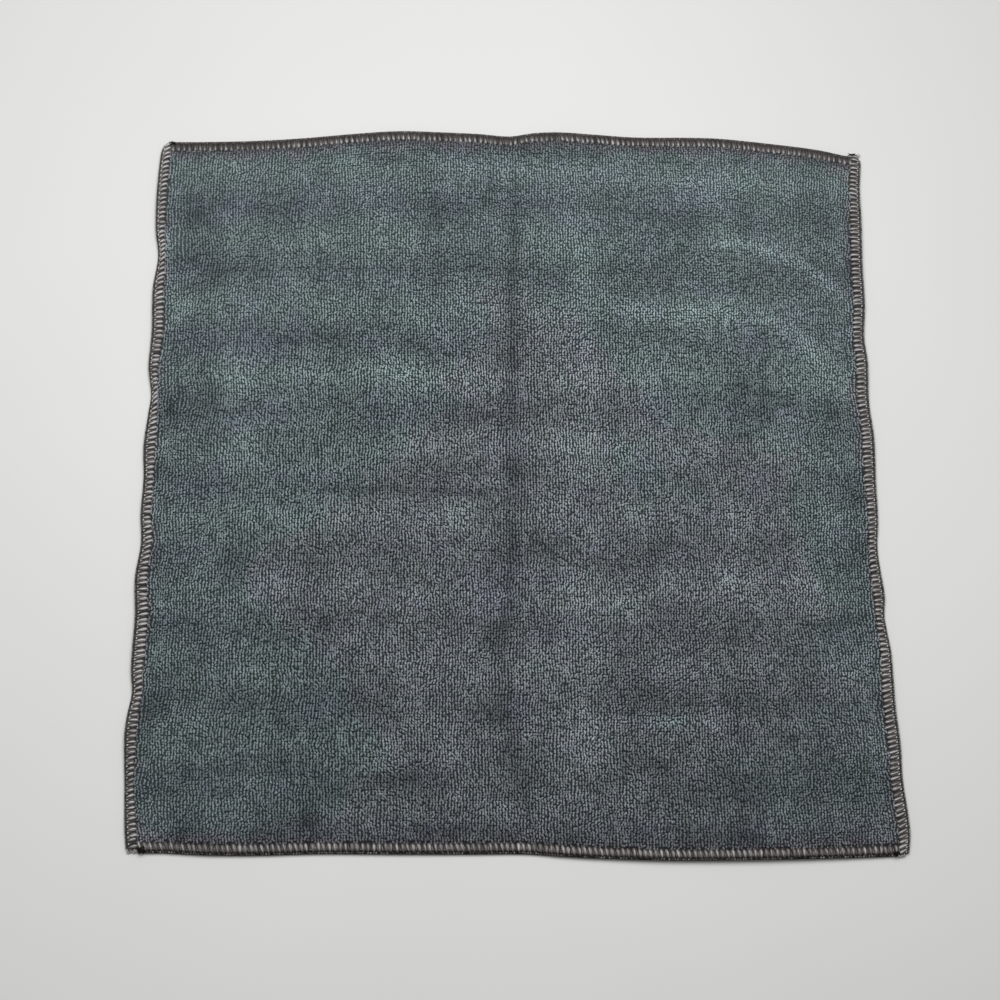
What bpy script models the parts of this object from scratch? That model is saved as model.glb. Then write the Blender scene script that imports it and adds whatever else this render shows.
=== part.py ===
"""A square microfibre cloth, lying flat with its overlocked hem and soft creases.

The cloth is one closed solid: a looped pile sheet, the stitched hem round its
edge, and the folds in which it lies.  Sizes and places in this file are in
millimetres; MM turns them into metres.  +Z is up, +X is the right-hand edge and
+Y the far edge.  The origin is the middle of the cloth's bounding box, on the
surface that it lies on.
"""
from bisect import bisect_right
from collections import namedtuple
from math import ceil, cos, exp, hypot, pi

import bmesh
import bpy

MM = 0.001

# Driving sizes.  The cloth was cut 400 mm square.
HEM_WIDTH = 5.8
PILE_THICKNESS = 2.4
HEM_TOP = 2.3
LIFT_REACH = 22.0

# An underside that would hang less than this over the surface rests on it.
LEAST_LIFT = 0.35

# The mesh: its steps, coarse on the open pile and fine along the two middle
# folds, how far a side's waviness reaches across, and the smallest length that
# tells two places apart.
COARSE_STEP = 8.6
FINE_STEP = 4.0
WAVE_REACH = 0.35
TOLERANCE = 0.01
Band = namedtuple("Band", "low high")
MIDDLE_FOLD_X = Band(-14.0, 10.0)
CROSS_FOLD_Y = Band(-14.0, 2.0)

# Low waves left by the way the cloth was rolled up: their height and spacing,
# the place of one crest, and how much weaker they are at the near edge.
ROLL_WAVE_HEIGHT = 0.28
ROLL_WAVE_LENGTH = 42.0
ROLL_WAVE_CREST = 133.0
ROLL_WAVE_NEAR = 0.35

# The four corners of the outline.
Corner = namedtuple("Corner", "x y")
NEAR_LEFT = Corner(-199.0, -197.0)
NEAR_RIGHT = Corner(200.2, -198.6)
FAR_LEFT = Corner(-197.0, 198.0)
FAR_RIGHT = Corner(199.8, 196.5)

# One side of the outline.  at: the place along the side; across: the other
# coordinate of the rim there; rim, inner: how high the rim and the line inside
# the hem stand off the surface.
EdgePoint = namedtuple("EdgePoint", "at across rim inner")

LEFT_SIDE = tuple(EdgePoint(*row) for row in (
    # y, x of the rim, rim lift, inner lift
    (-197.0, -199.0, 0.0, 0.0),
    (-187.0, -199.5, 0.4, 0.0),
    (-163.0, -200.9, 0.2, 1.3),
    (-140.0, -202.3, 1.3, 0.3),
    (-130.0, -201.9, 0.8, 1.0),
    (-116.0, -200.0, 0.2, 2.2),
    (-94.0, -200.8, 1.4, 0.5),
    (-76.0, -200.3, 1.2, 0.2),
    (-58.0, -200.8, 0.7, 0.3),
    (-38.0, -199.1, 0.2, 1.2),
    (-21.0, -199.7, 0.6, 0.3),
    (0.0, -198.9, 0.3, 0.6),
    (19.0, -200.3, 0.7, 0.0),
    (34.0, -199.5, 0.3, 0.8),
    (50.0, -197.5, 0.1, 2.2),
    (66.0, -199.3, 0.7, 0.5),
    (84.0, -199.0, 0.9, 0.3),
    (110.0, -199.6, 0.8, 0.2),
    (130.0, -197.5, 0.1, 2.0),
    (150.0, -199.2, 0.9, 0.5),
    (171.0, -200.0, 1.2, 0.2),
    (191.0, -199.0, 0.5, 0.0),
    (196.0, -198.2, 0.2, 0.0),
    (198.0, -197.0, 0.0, 0.0),
))

RIGHT_SIDE = tuple(EdgePoint(*row) for row in (
    # y, x of the rim, rim lift, inner lift
    (-198.6, 200.2, 0.0, 0.0),
    (-187.0, 200.8, 0.6, 0.0),
    (-157.0, 199.3, 0.3, 0.9),
    (-143.0, 199.5, 0.6, 0.2),
    (-124.0, 198.3, 0.8, 0.2),
    (-108.0, 197.7, 0.9, 0.1),
    (-78.0, 195.8, 0.1, 1.8),
    (-64.0, 196.4, 0.7, 0.4),
    (-37.0, 194.5, 0.1, 2.0),
    (0.0, 195.8, 0.6, 0.4),
    (28.0, 196.5, 1.0, 0.2),
    (48.0, 195.1, 0.6, 0.9),
    (72.0, 195.8, 1.2, 0.3),
    (88.0, 195.3, 0.8, 1.3),
    (126.0, 196.7, 1.6, 0.6),
    (157.0, 197.8, 1.4, 0.4),
    (178.0, 198.4, 0.8, 0.3),
    (192.0, 199.5, 0.2, 0.0),
    (196.5, 199.8, 0.0, 0.0),
))

FAR_SIDE = tuple(EdgePoint(*row) for row in (
    # x, y of the rim, rim lift, inner lift
    (-197.0, 198.0, 0.0, 0.0),
    (-193.5, 200.4, 0.2, 0.0),
    (-177.0, 200.9, 0.5, 0.1),
    (-149.0, 202.1, 0.5, 0.3),
    (-121.0, 204.1, 0.9, 0.8),
    (-90.0, 207.3, 1.6, 1.5),
    (-65.0, 209.3, 2.0, 1.9),
    (-40.0, 209.3, 1.5, 1.4),
    (-19.0, 209.0, 0.8, 0.7),
    (-2.0, 208.2, 0.1, 0.0),
    (12.0, 210.0, 1.2, 1.1),
    (27.0, 210.5, 1.8, 1.7),
    (48.0, 209.7, 1.1, 1.0),
    (70.0, 208.8, 0.5, 0.4),
    (101.0, 209.1, 0.7, 0.6),
    (118.0, 208.8, 0.8, 0.6),
    (145.0, 206.5, 0.5, 0.3),
    (174.0, 203.1, 0.4, 0.1),
    (190.0, 199.8, 0.2, 0.0),
    (194.5, 199.1, 0.1, 0.0),
    (199.8, 196.5, 0.0, 0.0),
))

NEAR_SIDE = tuple(EdgePoint(*row) for row in (
    # x, y of the rim, rim lift, inner lift
    (-199.0, -197.0, 0.0, 0.0),
    (-193.6, -197.6, 0.1, 0.0),
    (-191.5, -198.7, 0.1, 0.0),
    (-180.0, -198.8, 0.1, 0.0),
    (-158.0, -199.9, 0.4, 0.0),
    (-133.0, -200.0, 0.2, 0.1),
    (-101.0, -199.2, 0.1, 0.3),
    (-60.0, -199.4, 0.3, 0.1),
    (-25.0, -199.4, 0.1, 0.1),
    (3.0, -199.3, 0.0, 0.0),
    (20.0, -200.5, 0.5, 0.3),
    (38.0, -201.5, 0.9, 0.4),
    (76.0, -202.7, 1.4, 0.5),
    (121.0, -202.5, 1.6, 0.5),
    (160.0, -201.6, 1.0, 0.3),
    (186.0, -200.7, 0.3, 0.0),
    (194.5, -200.2, 0.1, 0.0),
    (197.5, -199.4, 0.0, 0.0),
    (200.2, -198.6, 0.0, 0.0),
))

# The hem's section, from the rim inwards: where its top and its underside lie.
# Its inner stitch line draws the sheet thin, and the pile swells up beyond it.
HemPoint = namedtuple("HemPoint", "inset top under")
HEM_SECTION = tuple(HemPoint(*row) for row in (
    # inset, top, underside
    (0.0, 1.1, 1.1),
    (0.4, 1.8, 0.35),
    (1.4, 2.2, 0.0),
    (4.4, HEM_TOP, 0.0),
    (HEM_WIDTH, 1.3, 0.0),
    (7.2, 2.15, 0.0),
    (13.0, PILE_THICKNESS, 0.0),
))
HEM_CROWN = 4.4

# Creases and ridges of the sheet.  rise: height of the middle, below zero for a
# trough; half_width: how far out it has fallen to about a third; path: the line
# that it follows.
Crease = namedtuple("Crease", "rise half_width path")
CREASES = (
    # the middle fold, which strays to the left and back near the front
    Crease(-0.9, 4.5, ((-1, 185), (-2, 150), (-1, 123), (-2, 80), (1, 36), (-2, 5), (-4, -44), (-6, -70))),
    Crease(-0.8, 4.5, ((-10, -90), (-8, -120), (-4, -141), (1, -167), (5, -192))),
    # the fold across it, which shows on the left half
    Crease(-0.5, 4.0, ((-184, -4), (-153, -6), (-95, -6), (-30, -5), (-4, -9))),
    # the three bows round the far right corner
    Crease(0.7, 4.5, ((99, 131), (116, 139), (133, 141), (156, 134), (178, 120))),
    Crease(1.3, 5.5, ((59, 105), (101, 103), (125, 101), (145, 92), (160, 81), (169, 67), (169, 56))),
    Crease(-0.7, 5.0, ((30, 81), (72, 86), (97, 81), (127, 61), (143, 47), (170, 45), (190, 34))),
    # short folds that run in from the left hem
    Crease(0.9, 5.0, ((-194, 128), (-184, 135), (-167, 145))),
    Crease(0.9, 5.0, ((-194, 84), (-184, 92), (-171, 106))),
    Crease(-0.6, 5.0, ((-190, 26), (-182, 45), (-164, 54))),
    Crease(-0.5, 6.0, ((-190, 160), (-170, 162))),
    # a broad swelling to the right of the middle fold
    Crease(0.4, 8.0, ((44, 140), (35, 89), (38, 48), (32, 19), (24, -18))),
    # short folds in the near half
    Crease(-0.5, 4.0, ((147, -81), (166, -79), (190, -74))),
    Crease(-0.5, 4.0, ((61, -123), (71, -118), (82, -110))),
    Crease(-0.4, 4.0, ((-176, -157), (-138, -154))),
    Crease(-0.7, 4.0, ((-113, -172), (-106, -182), (-101, -192))),
    Crease(-0.4, 4.0, ((-86, -164), (-43, -161))),
)

# A crease fades over its last stretch to a part of its height, and is cut off
# where it has fallen to nothing, so many half widths out.
CREASE_END = 14.0
CREASE_END_SHARE = 0.25
CREASE_CUTOFF = 3.0

# Linear colours of the two threads.
PILE_COLOUR = (0.13, 0.157, 0.163)
HEM_COLOUR = (0.16, 0.135, 0.125)


def blend(share):
    """0 to 1 with a soft start and end."""
    share = min(max(share, 0.0), 1.0)
    return share * share * (3.0 - 2.0 * share)


def slope(places, heights, index):
    """The rise of a curve at one of its points."""
    before = max(index - 1, 0)
    after = min(index + 1, len(places) - 1)
    return (heights[after] - heights[before]) / (places[after] - places[before])


def read_curve(rows, column, at):
    """A smooth curve through one column of a side's table."""
    places = [row.at for row in rows]
    heights = [getattr(row, column) for row in rows]
    at = min(max(at, places[0]), places[-1])
    index = min(bisect_right(places, at) - 1, len(rows) - 2)
    span = places[index + 1] - places[index]
    t = (at - places[index]) / span
    rise_start = slope(places, heights, index) * span
    rise_end = slope(places, heights, index + 1) * span
    ease = 3 * t ** 2 - 2 * t ** 3
    bend = (t ** 3 - 2 * t ** 2 + t) * rise_start + (t ** 3 - t ** 2) * rise_end
    return heights[index] * (1 - ease) + heights[index + 1] * ease + bend


def read_section(inset, column):
    """The hem's section, straight between the rows of its table."""
    insets = [point.inset for point in HEM_SECTION]
    if inset >= insets[-1]:
        return getattr(HEM_SECTION[-1], column)
    index = bisect_right(insets, inset) - 1
    start, end = HEM_SECTION[index], HEM_SECTION[index + 1]
    share = (inset - start.inset) / (end.inset - start.inset)
    return getattr(start, column) * (1 - share) + getattr(end, column) * share


def grid_lines(length, fine_bands):
    """Insets of the mesh lines from the first edge to the opposite one."""
    rim_lines = [point.inset for point in HEM_SECTION] + [LIFT_REACH]
    marks = [LIFT_REACH]
    for low, high in fine_bands:
        marks += [low, high]
    marks.append(length - LIFT_REACH)
    inner = []
    for index, (low, high) in enumerate(zip(marks, marks[1:])):
        step = FINE_STEP if index % 2 else COARSE_STEP
        count = ceil((high - low) / step)
        inner += [low + (high - low) * k / count for k in range(1, count + 1)]
    return rim_lines + inner[:-1] + [length - inset for inset in reversed(rim_lines)]


def mix_corners(u, v):
    """The place in the straight-sided outline between the four corners."""
    near_x = NEAR_LEFT.x * (1 - u) + NEAR_RIGHT.x * u
    near_y = NEAR_LEFT.y * (1 - u) + NEAR_RIGHT.y * u
    far_x = FAR_LEFT.x * (1 - u) + FAR_RIGHT.x * u
    far_y = FAR_LEFT.y * (1 - u) + FAR_RIGHT.y * u
    return near_x * (1 - v) + far_x * v, near_y * (1 - v) + far_y * v


def edge_pull(share):
    """How much of a side's waviness is left at this share of the way across."""
    return 1.0 - blend(share / WAVE_REACH)


def plan_place(u, v):
    """Where a point of the sheet lies, seen from above."""
    x, y = mix_corners(u, v)
    left_x, left_y = mix_corners(0, v)
    right_x, right_y = mix_corners(1, v)
    near_x, near_y = mix_corners(u, 0)
    far_x, far_y = mix_corners(u, 1)
    x += (read_curve(LEFT_SIDE, "across", left_y) - left_x) * edge_pull(u)
    x += (read_curve(RIGHT_SIDE, "across", right_y) - right_x) * edge_pull(1 - u)
    y += (read_curve(NEAR_SIDE, "across", near_x) - near_y) * edge_pull(v)
    y += (read_curve(FAR_SIDE, "across", far_x) - far_y) * edge_pull(1 - v)
    return x, y


def side_lift(rows, at, inset):
    """How high one side of the sheet stands off the surface."""
    if inset >= LIFT_REACH:
        return 0.0
    rim = max(read_curve(rows, "rim", at), 0.0)
    inner = max(read_curve(rows, "inner", at), 0.0)
    if inset <= HEM_WIDTH:
        return rim + (inner - rim) * inset / HEM_WIDTH
    return inner * (1.0 - blend((inset - HEM_WIDTH) / (LIFT_REACH - HEM_WIDTH)))


def sheet_lift(x, y, insets):
    """The underside's height over the surface, from whichever sides are near."""
    lifts = (side_lift(LEFT_SIDE, y, insets.left), side_lift(RIGHT_SIDE, y, insets.right),
             side_lift(NEAR_SIDE, x, insets.near), side_lift(FAR_SIDE, x, insets.far))
    return max(lifts)


def path_distance(x, y, path):
    """Distance to a crease's line, and how far along it the nearest point is."""
    nearest, place, run = 1.0e9, 0.0, 0.0
    for (ax, ay), (bx, by) in zip(path, path[1:]):
        length = hypot(bx - ax, by - ay)
        t = ((x - ax) * (bx - ax) + (y - ay) * (by - ay)) / length ** 2
        t = min(max(t, 0.0), 1.0)
        distance = hypot(x - ax - t * (bx - ax), y - ay - t * (by - ay))
        if distance < nearest:
            nearest, place = distance, run + t * length
        run += length
    return nearest, place, run


def crease_rise(x, y, crease):
    """One crease's height here, fading out at both its ends."""
    distance, place, run = path_distance(x, y, crease.path)
    if distance > CREASE_CUTOFF * crease.half_width:
        return 0.0
    end = min(CREASE_END, run / 2)
    fade = blend(place / end) * blend((run - place) / end)
    fade = max(fade, CREASE_END_SHARE)
    return crease.rise * fade * exp(-(distance / crease.half_width) ** 2)


def pile_relief(x, y):
    """Creases and low waves of the pile side."""
    depth = (y - NEAR_LEFT.y) / (FAR_LEFT.y - NEAR_LEFT.y)
    strength = ROLL_WAVE_NEAR + (1 - ROLL_WAVE_NEAR) * depth
    wave = ROLL_WAVE_HEIGHT * strength * cos(2 * pi * (y - ROLL_WAVE_CREST) / ROLL_WAVE_LENGTH)
    return wave + sum(crease_rise(x, y, crease) for crease in CREASES)


def hem_height(side_inset, end_inset, column):
    """The sheet's top or underside above its lift.

    The left and right hems run the cloth's whole depth.  The near and far hems
    stop at them, where the stitch line makes a dent between the two.
    """
    pick = min if column == "top" else max
    if side_inset < HEM_WIDTH:
        end_inset = min(end_inset, HEM_CROWN)
    return pick(read_section(side_inset, column), read_section(end_inset, column))


Insets = namedtuple("Insets", "left right near far")


def sheet_grid(columns, rows):
    """Plan place, insets and lift for every crossing of the mesh lines."""
    grid = []
    for near in rows:
        line = []
        for left in columns:
            x, y = plan_place(left / columns[-1], near / rows[-1])
            insets = Insets(left, columns[-1] - left, near, rows[-1] - near)
            line.append((x, y, insets, sheet_lift(x, y, insets)))
        grid.append(line)
    return grid


def grid_centre(grid):
    """The middle of the outline's bounding box."""
    xs = [x for line in grid for x, y, insets, lift in line]
    ys = [y for line in grid for x, y, insets, lift in line]
    return (min(xs) + max(xs)) / 2, (min(ys) + max(ys)) / 2


def make_vertices(bm, grid, column):
    """Vertices of the top or the underside, as lines of a grid."""
    middle_x, middle_y = grid_centre(grid)
    surface = []
    for line in grid:
        vertices = []
        for x, y, insets, lift in line:
            side_inset = min(insets.left, insets.right)
            end_inset = min(insets.near, insets.far)
            z = lift + hem_height(side_inset, end_inset, column)
            if column == "top":
                z += pile_relief(x, y) * blend((min(side_inset, end_inset) - HEM_WIDTH) / HEM_WIDTH)
            elif z < LEAST_LIFT:
                z = 0.0
            vertices.append(bm.verts.new(((x - middle_x) * MM, (y - middle_y) * MM, z * MM)))
        surface.append(vertices)
    return surface


def is_hem(grid, row, column):
    """Whether a mesh square lies in the stitched hem."""
    insets = grid[row][column][2]
    opposite = grid[row + 1][column + 1][2]
    nearest = min(insets.left, insets.near, opposite.right, opposite.far)
    return nearest < HEM_WIDTH - TOLERANCE


def add_top(bm, grid):
    """The upper side, a full grid of squares."""
    surface = make_vertices(bm, grid, "top")
    for row in range(len(grid) - 1):
        for column in range(len(grid[0]) - 1):
            corners = (surface[row][column], surface[row][column + 1],
                       surface[row + 1][column + 1], surface[row + 1][column])
            face = bm.faces.new(corners)
            face.material_index = 1 if is_hem(grid, row, column) else 0
    return surface


def ring_depth(row, column, last_row, last_column):
    """How many mesh lines a square lies in from the nearest edge."""
    return min(row, column, last_row - 1 - row, last_column - 1 - column)


def add_underside(bm, grid, top):
    """The underside: squares where the sheet lifts, and one flat middle.

    It shares the rim's vertices with the upper side.  The middle lies flat on the
    surface, as a fan of triangles round its centre.
    """
    last_row, last_column = len(grid) - 1, len(grid[0]) - 1
    flat_depth = len(HEM_SECTION)
    surface = make_vertices(bm, grid, "under")
    for row in range(last_row + 1):
        for column in range(last_column + 1):
            if row in (0, last_row) or column in (0, last_column):
                bm.verts.remove(surface[row][column])
                surface[row][column] = top[row][column]
    for row in range(last_row):
        for column in range(last_column):
            if ring_depth(row, column, last_row, last_column) >= flat_depth:
                continue
            corners = (surface[row][column], surface[row + 1][column],
                       surface[row + 1][column + 1], surface[row][column + 1])
            face = bm.faces.new(corners)
            face.material_index = 1 if is_hem(grid, row, column) else 0
    ring = flat_ring(surface, flat_depth, last_row, last_column)
    centre = bm.verts.new((0.0, 0.0, 0.0))
    for start, end in zip(ring, ring[1:] + ring[:1]):
        bm.faces.new((centre, end, start))
    bmesh.ops.delete(bm, geom=[v for v in bm.verts if not v.link_faces], context='VERTS')


def flat_ring(surface, depth, last_row, last_column):
    """The vertices round the flat middle, anticlockwise from above."""
    far, right = last_row - depth, last_column - depth
    near_line = [surface[depth][column] for column in range(depth, right)]
    right_line = [surface[row][right] for row in range(depth, far)]
    far_line = [surface[far][column] for column in range(right, depth, -1)]
    left_line = [surface[row][depth] for row in range(far, depth, -1)]
    return near_line + right_line + far_line + left_line


def fabric(name, colour, roughness, sheen):
    """A matt fabric with a soft sheen."""
    material = bpy.data.materials.new(name)
    material.use_nodes = True
    shader = material.node_tree.nodes["Principled BSDF"]
    shader.inputs["Base Color"].default_value = (*colour, 1.0)
    shader.inputs["Roughness"].default_value = roughness
    shader.inputs["Metallic"].default_value = 0.0
    shader.inputs["Sheen Weight"].default_value = sheen
    return material


def make_cloth():
    """The whole cloth as one object."""
    width = NEAR_RIGHT.x - NEAR_LEFT.x
    depth = FAR_LEFT.y - NEAR_LEFT.y
    fold_columns = [Band(MIDDLE_FOLD_X.low - NEAR_LEFT.x, MIDDLE_FOLD_X.high - NEAR_LEFT.x)]
    fold_rows = [Band(CROSS_FOLD_Y.low - NEAR_LEFT.y, CROSS_FOLD_Y.high - NEAR_LEFT.y)]
    grid = sheet_grid(grid_lines(width, fold_columns), grid_lines(depth, fold_rows))
    bm = bmesh.new()
    top = add_top(bm, grid)
    add_underside(bm, grid, top)
    mesh = bpy.data.meshes.new("cloth")
    bm.to_mesh(mesh)
    bm.free()
    mesh.materials.append(fabric("grey_green_pile", PILE_COLOUR, 0.95, 0.3))
    mesh.materials.append(fabric("brown_grey_thread", HEM_COLOUR, 0.8, 0.1))
    mesh.shade_smooth()
    mesh.set_sharp_from_angle(angle=pi / 3)
    cloth = bpy.data.objects.new("cloth", mesh)
    bpy.context.scene.collection.objects.link(cloth)
    return cloth


for old in list(bpy.data.objects):
    bpy.data.objects.remove(old)
make_cloth()
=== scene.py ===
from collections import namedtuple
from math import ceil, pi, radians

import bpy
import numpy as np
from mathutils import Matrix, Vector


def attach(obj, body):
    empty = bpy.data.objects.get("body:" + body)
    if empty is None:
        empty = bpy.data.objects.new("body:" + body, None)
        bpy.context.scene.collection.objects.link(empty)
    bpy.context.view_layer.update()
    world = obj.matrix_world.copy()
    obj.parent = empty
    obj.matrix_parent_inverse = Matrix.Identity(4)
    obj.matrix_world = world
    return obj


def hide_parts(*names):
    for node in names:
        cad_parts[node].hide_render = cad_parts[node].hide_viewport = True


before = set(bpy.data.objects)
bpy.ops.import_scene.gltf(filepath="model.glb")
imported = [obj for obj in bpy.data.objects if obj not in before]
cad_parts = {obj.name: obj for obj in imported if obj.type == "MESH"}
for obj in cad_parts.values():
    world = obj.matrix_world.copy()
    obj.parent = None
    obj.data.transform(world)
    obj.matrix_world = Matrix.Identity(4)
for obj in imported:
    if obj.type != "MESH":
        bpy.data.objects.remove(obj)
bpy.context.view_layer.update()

# A square microfibre cloth with an overlocked hem, lying on a pale floor.
#
# Sizes and places are in millimetres; MM turns them into metres.  +Z is up, +X is
# the right-hand edge and +Y the far edge.  A place on the sheet is given as across
# (from the left rim) and along (from the near rim), both measured on the flat cut.

MM = 0.001
BAKE_MAP = "OFBake"


def table(kind, rows):
    """Rows that all have the same named columns."""
    return tuple(kind(*row) for row in rows)


# ---- the outline

Corner = namedtuple("Corner", "x y")
NEAR_LEFT = Corner(-199.0, -197.0)
NEAR_RIGHT = Corner(200.2, -198.6)
FAR_LEFT = Corner(-197.0, 198.0)
FAR_RIGHT = Corner(199.8, 196.5)
WIDTH = NEAR_RIGHT.x - NEAR_LEFT.x
DEPTH = FAR_LEFT.y - NEAR_LEFT.y

HEM_WIDTH = 5.8
HEM_CROWN = 4.4
HEM_EASE = 12.0
LIFT_REACH = 22.0
LEAST_LIFT = 0.35
WAVE_REACH = 0.35

# One side of the outline.  at: the place along the side; across: the other
# coordinate of the rim; rim, inner: how high the rim and the line inside the hem
# stand off the floor.
EdgePoint = namedtuple("EdgePoint", "at across rim inner")

LEFT_SIDE = table(EdgePoint, (
    (-197, -199, 0, 0), (-187, -200.1, 0.4, 0), (-163, -201.3, 0.2, 1.3),
    (-140, -202.5, 1.3, 0.3), (-130, -201.9, 0.8, 1), (-117, -199.9, 0.2, 2.2),
    (-105, -200.9, 0.8, 1.3), (-94, -200.8, 1.4, 0.5), (-76, -200.3, 1.2, 0.2),
    (-55, -201.3, 0.7, 0.3), (-36, -199.1, 0.2, 1.2), (-20, -200, 0.6, 0.3),
    (0, -199.4, 0.3, 0.6), (19, -200.3, 0.7, 0), (37, -198.6, 0.3, 0.8), (48, -197.6, 0.1, 2.2),
    (64, -199.7, 0.7, 0.5), (84, -199, 0.9, 0.3), (110, -199.6, 0.8, 0.2),
    (130, -197.5, 0.1, 2), (146, -199.6, 0.9, 0.5), (168, -200, 1.2, 0.2), (191, -199, 0.5, 0),
    (196, -198.2, 0.2, 0), (198, -197, 0, 0),
))

RIGHT_SIDE = table(EdgePoint, (
    (-198.6, 200.2, 0, 0), (-187, 201.3, 0.6, 0), (-160, 199.4, 0.3, 0.9),
    (-143, 199.5, 0.6, 0.2), (-124, 198.3, 0.8, 0.2), (-108, 198, 0.9, 0.1),
    (-93, 197.8, 0.6, 0.8), (-74, 195.6, 0.1, 1.8), (-62, 196.4, 0.7, 0.4),
    (-37, 194.3, 0.1, 2), (-20, 195.7, 0.4, 1.1), (0, 195.9, 0.6, 0.4), (28, 196.5, 1, 0.2),
    (48, 195.1, 0.6, 0.9), (72, 195.8, 1.2, 0.3), (86, 194.8, 0.8, 1.3), (107, 196.4, 1.2, 0.9),
    (130, 196.5, 1.6, 0.6), (157, 197.6, 1.4, 0.4), (178, 198, 0.8, 0.3), (192, 199.5, 0.2, 0),
    (196.5, 199.8, 0, 0),
))

FAR_SIDE = table(EdgePoint, (
    (-197, 198, 0, 0), (-193.5, 200.4, 0.2, 0), (-177, 200.9, 0.5, 0.1),
    (-149, 202.1, 0.5, 0.3), (-121, 204.1, 0.9, 0.8), (-90, 207.3, 1.6, 1.5),
    (-65, 209.3, 2, 1.9), (-40, 209.3, 1.5, 1.4), (-19, 209, 0.8, 0.7), (-2, 208.2, 0.1, 0),
    (12, 210, 1.2, 1.1), (27, 210.5, 1.8, 1.7), (48, 209.7, 1.1, 1), (70, 208.8, 0.5, 0.4),
    (101, 209.1, 0.7, 0.6), (118, 208.8, 0.8, 0.6), (145, 206.5, 0.5, 0.3),
    (174, 203.1, 0.4, 0.1), (190, 199.8, 0.2, 0), (194.5, 199.1, 0.1, 0), (199.8, 196.5, 0, 0),
))

NEAR_SIDE = table(EdgePoint, (
    (-199, -197, 0, 0), (-193.6, -197.6, 0.1, 0), (-191.5, -198.7, 0.1, 0),
    (-180, -198.8, 0.1, 0), (-158, -199.9, 0.4, 0), (-133, -200, 0.2, 0.1),
    (-101, -199.2, 0.1, 0.3), (-60, -199.4, 0.3, 0.1), (-25, -199.4, 0.1, 0.1),
    (3, -199.3, 0, 0), (20, -200.5, 0.5, 0.3), (38, -201.5, 0.9, 0.4), (76, -202.7, 1.4, 0.5),
    (121, -202.5, 1.6, 0.5), (160, -201.6, 1, 0.3), (186, -200.7, 0.3, 0),
    (194.5, -200.2, 0.1, 0), (197.5, -199.4, 0, 0), (200.2, -198.6, 0, 0),
))

# How wide the side hems look from above: they curl narrow where the sheet bends.
HemWidth = namedtuple("HemWidth", "at width")

LEFT_HEM = table(HemWidth, (
    (-187, 6.4), (-162, 4.9), (-140, 6.4), (-118, 5.6), (-94, 7),
    (-58, 6.7), (-33, 6), (0, 5.5), (22, 6.8), (48, 3.9), (75, 6),
    (110, 6.2), (130, 4.1), (155, 5.6), (181, 5.6),
))

RIGHT_HEM = table(HemWidth, (
    (-187, 6.2), (-144, 6.8), (-96, 6.2), (-76, 5.2), (-55, 6.5),
    (-35, 5.2), (-8, 6.1), (19, 6.9), (57, 6.7), (106, 6.6),
    (157, 6.5), (178, 5.8),
))

# The ground sheet's section, from the rim inwards.
GroundPoint = namedtuple("GroundPoint", "inset top under")
GROUND_SECTION = table(GroundPoint, (
    (0, 1.10, 1.10),
    (0.5, 1.65, 0.40),
    (1.5, 1.85, 0.00),
    (HEM_CROWN, 1.90, 0.00),
    (HEM_WIDTH, 0.90, 0.00),
    (7.2, 1.20, 0.00),
    (13, 1.40, 0.00),
))
GROUND_LINES = (0.0, 0.25, 0.5, 1.0, 1.5, 3.0, 4.4, 5.1, 5.8, 6.5, 7.2, 8.8, 10.8, 13.0)
GROUND_STEP = 3.0
HEM_GROUND_SHADE = 0.35

# The pile's height over the lift, from the rim inwards.
PilePoint = namedtuple("PilePoint", "inset top")
PILE_SECTION = table(PilePoint, (
    (HEM_WIDTH, 2.10),
    (6.6, 2.30),
    (13, 2.45),
))

# ---- the folds and creases

ROLL_WAVE_HEIGHT = 0.28
ROLL_WAVE_LENGTH = 42.0
ROLL_WAVE_CREST = 133.0
ROLL_WAVE_NEAR = 0.35
CREASE_END = 14.0
CREASE_END_SHARE = 0.25

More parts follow.
